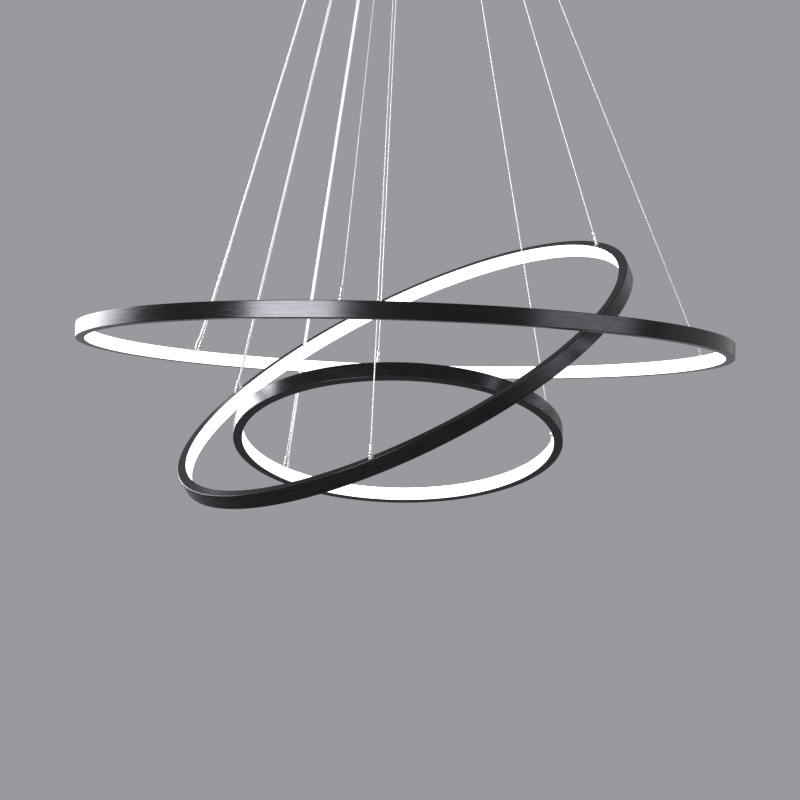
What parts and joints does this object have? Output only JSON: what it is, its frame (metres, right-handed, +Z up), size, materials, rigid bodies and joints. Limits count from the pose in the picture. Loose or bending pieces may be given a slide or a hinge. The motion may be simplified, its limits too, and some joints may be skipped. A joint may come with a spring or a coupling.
{
  "type": "led ring chandelier",
  "caption": "Ceiling light of concentric slim black rings, lit on their inner faces and hung level or tilted on thin steel wires from one round canopy.",
  "frame": {"origin": "centre of the canopy's top on the ceiling plane, on the canopy's axis", "axes": "+Z up into the ceiling, +X along the bracket towards the right wires, -Y towards the front wires"},
  "size_m": [0.8, 0.7996, 0.9875],
  "materials": {
    "black_aluminium": "brushed, black anodised",
    "opal_diffuser": "opal, lit from behind",
    "steel_wire": "stranded stainless steel",
    "nickel": "nickel plated brass",
    "clear_cable": "clear flexible sheath over two cores",
    "canopy_black": "fine satin powder coat",
    "zinc_steel": "zinc plated",
    "driver_plastic": "light grey moulded",
    "terminal_plastic": "natural white moulded",
    "core_insulation": "black insulated cores",
    "tape_white": "white solder mask",
    "led_chip": "phosphor under silicone",
    "black_screw": "black oxide",
    "black_rubber": "moulded"
  },
  "bodies": {
    "ceiling": {"ceiling_bracket": "zinc_steel", "canopy_cover": "canopy_black", "side_screws": "nickel", "led_driver": "driver_plastic", "driver_screws": "zinc_steel", "driver_cables": "core_insulation", "terminal_block": "terminal_plastic", "gripper_bodies": "nickel", "gripper_nuts": "zinc_steel", "lead_glands": "black_rubber", "output_connectors": "terminal_plastic", "wire_tails": "steel_wire", "large_right_wire": "steel_wire", "large_left_wire": "steel_wire", "large_front_wire": "steel_wire", "large_power_lead": "clear_cable", "medium_right_wire": "steel_wire", "medium_left_wire": "steel_wire", "medium_front_wire": "steel_wire", "medium_power_lead": "clear_cable", "small_right_wire": "steel_wire", "small_left_wire": "steel_wire", "small_front_wire": "steel_wire", "small_power_lead": "clear_cable"},
    "large_ring": {"large_channel": "black_aluminium", "large_diffuser": "opal_diffuser", "large_led_tape": "tape_white", "large_led_chips": "led_chip", "large_splice_bar": "zinc_steel", "large_splice_screws": "black_screw", "large_anchor_bushes": "nickel", "large_ferrules": "nickel", "large_lead_grommet": "clear_cable"},
    "large_right_nipple": {"large_right_nipple": "nickel"},
    "large_left_nipple": {"large_left_nipple": "nickel"},
    "large_front_nipple": {"large_front_nipple": "nickel"},
    "medium_ring": {"medium_channel": "black_aluminium", "medium_diffuser": "opal_diffuser", "medium_led_tape": "tape_white", "medium_led_chips": "led_chip", "medium_splice_bar": "zinc_steel", "medium_splice_screws": "black_screw", "medium_anchor_bushes": "nickel", "medium_ferrules": "nickel", "medium_lead_grommet": "clear_cable"},
    "medium_right_nipple": {"medium_right_nipple": "nickel"},
    "medium_left_nipple": {"medium_left_nipple": "nickel"},
    "medium_front_nipple": {"medium_front_nipple": "nickel"},
    "small_ring": {"small_channel": "black_aluminium", "small_diffuser": "opal_diffuser", "small_led_tape": "tape_white", "small_led_chips": "led_chip", "small_splice_bar": "zinc_steel", "small_splice_screws": "black_screw", "small_anchor_bushes": "nickel", "small_ferrules": "nickel", "small_lead_grommet": "clear_cable"},
    "small_right_nipple": {"small_right_nipple": "nickel"},
    "small_left_nipple": {"small_left_nipple": "nickel"},
    "small_front_nipple": {"small_front_nipple": "nickel"}
  },
  "joints": [
    {"name": "large_ring_height", "type": "slide", "parent": "ceiling", "child": "large_ring", "axis": [0, 0, 1], "range_m": [0, 0.35], "deforming": ["large_right_wire", "large_left_wire", "large_front_wire", "large_power_lead"]},
    {"name": "medium_ring_tilt", "type": "hinge", "parent": "ceiling", "child": "medium_ring", "pos_m": [0.22322, 0.03517, -0.64107], "axis": [-0.3683, 0.9186, 0.1431], "range_deg": [0, 25], "deforming": ["medium_left_wire", "medium_front_wire", "medium_power_lead"]},
    {"name": "small_ring_tilt", "type": "hinge", "parent": "ceiling", "child": "small_ring", "pos_m": [-0.04224, -0.1877, -0.79575], "axis": [0.963, -0.2524, 0.0949], "range_deg": [0, 24], "deforming": ["small_right_wire", "small_left_wire", "small_power_lead"]},
    {"name": "large_right_release", "type": "slide", "parent": "ceiling", "child": "large_right_nipple", "axis": [0, 0, 1], "range_m": [0, 0.0025], "stiffness_N_per_m": 600, "springref_m": -0.0015},
    {"name": "large_left_release", "type": "slide", "parent": "ceiling", "child": "large_left_nipple", "axis": [0, 0, 1], "range_m": [0, 0.0025], "stiffness_N_per_m": 600, "springref_m": -0.0015},
    {"name": "large_front_release", "type": "slide", "parent": "ceiling", "child": "large_front_nipple", "axis": [0, 0, 1], "range_m": [0, 0.0025], "stiffness_N_per_m": 600, "springref_m": -0.0015},
    {"name": "medium_right_release", "type": "slide", "parent": "ceiling", "child": "medium_right_nipple", "axis": [0, 0, 1], "range_m": [0, 0.0025], "stiffness_N_per_m": 600, "springref_m": -0.0015},
    {"name": "medium_left_release", "type": "slide", "parent": "ceiling", "child": "medium_left_nipple", "axis": [0, 0, 1], "range_m": [0, 0.0025], "stiffness_N_per_m": 600, "springref_m": -0.0015},
    {"name": "medium_front_release", "type": "slide", "parent": "ceiling", "child": "medium_front_nipple", "axis": [0, 0, 1], "range_m": [0, 0.0025], "stiffness_N_per_m": 600, "springref_m": -0.0015},
    {"name": "small_right_release", "type": "slide", "parent": "ceiling", "child": "small_right_nipple", "axis": [0, 0, 1], "range_m": [0, 0.0025], "stiffness_N_per_m": 600, "springref_m": -0.0015},
    {"name": "small_left_release", "type": "slide", "parent": "ceiling", "child": "small_left_nipple", "axis": [0, 0, 1], "range_m": [0, 0.0025], "stiffness_N_per_m": 600, "springref_m": -0.0015},
    {"name": "small_front_release", "type": "slide", "parent": "ceiling", "child": "small_front_nipple", "axis": [0, 0, 1], "range_m": [0, 0.0025], "stiffness_N_per_m": 600, "springref_m": -0.0015}
  ]
}
